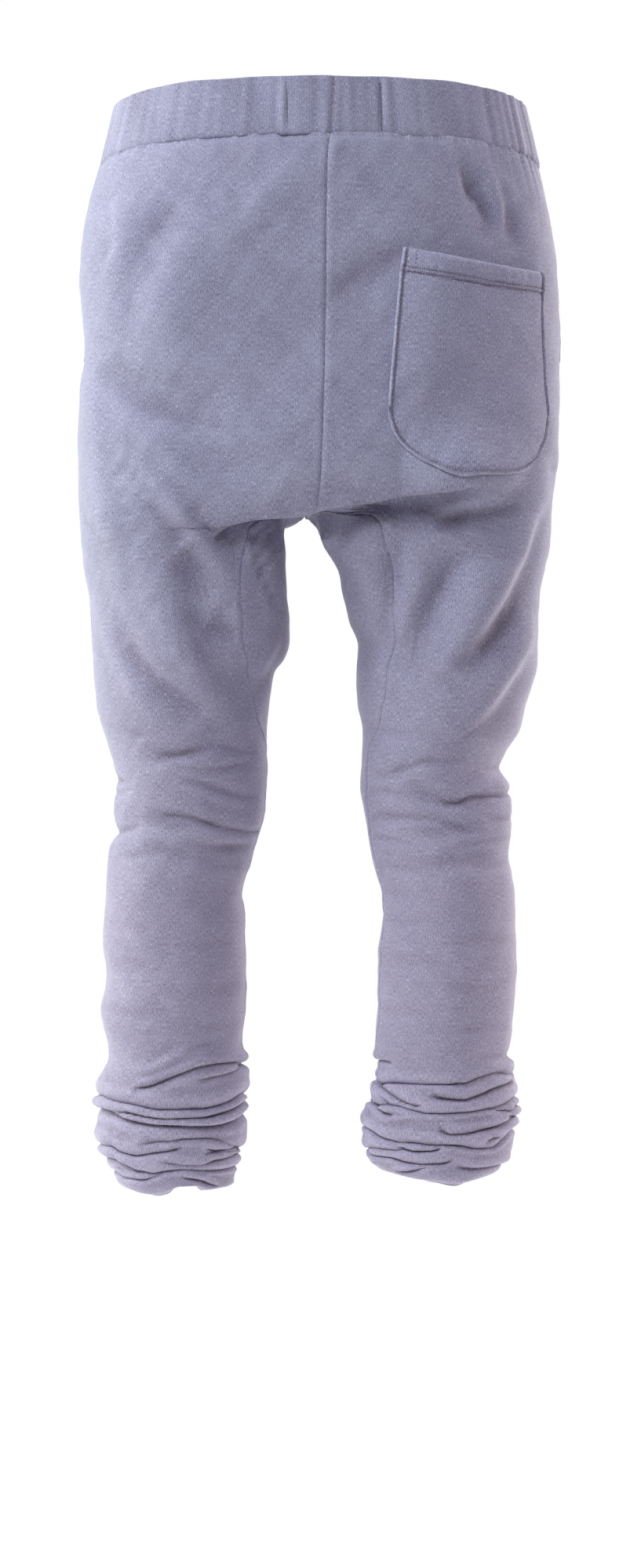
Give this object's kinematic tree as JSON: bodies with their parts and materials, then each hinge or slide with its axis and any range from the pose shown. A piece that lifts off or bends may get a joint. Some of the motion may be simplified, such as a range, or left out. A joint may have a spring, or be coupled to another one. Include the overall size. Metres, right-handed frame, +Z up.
{
  "type": "harem pants",
  "caption": "Drop-crotch fleece knit pants as worn: doubled waistband, low rise, narrowing legs piled up at open hems, rounded patch pocket on the back.",
  "frame": {"origin": "centre of the waist opening, at half the height of the waistband at the back", "axes": "+Z up along the body, +Y towards the wearer's back, +X towards the wearer's left"},
  "size_m": [0.3782, 0.2366, 0.8573],
  "materials": {
    "fleece": "matt heather fleece knit, washed, with fine wales and pale flecks",
    "waistband": "matt heather fleece knit, doubled over the elastic",
    "pocket": "the same heather fleece knit, a shade darker"
  },
  "bodies": {
    "root": {"back_left": "fleece", "back_right": "fleece", "front_left": "fleece", "front_right": "fleece", "waistband": "waistband", "back_pocket": "pocket", "hip_pocket_left": "pocket", "hip_pocket_right": "pocket"}
  },
  "joints": []
}
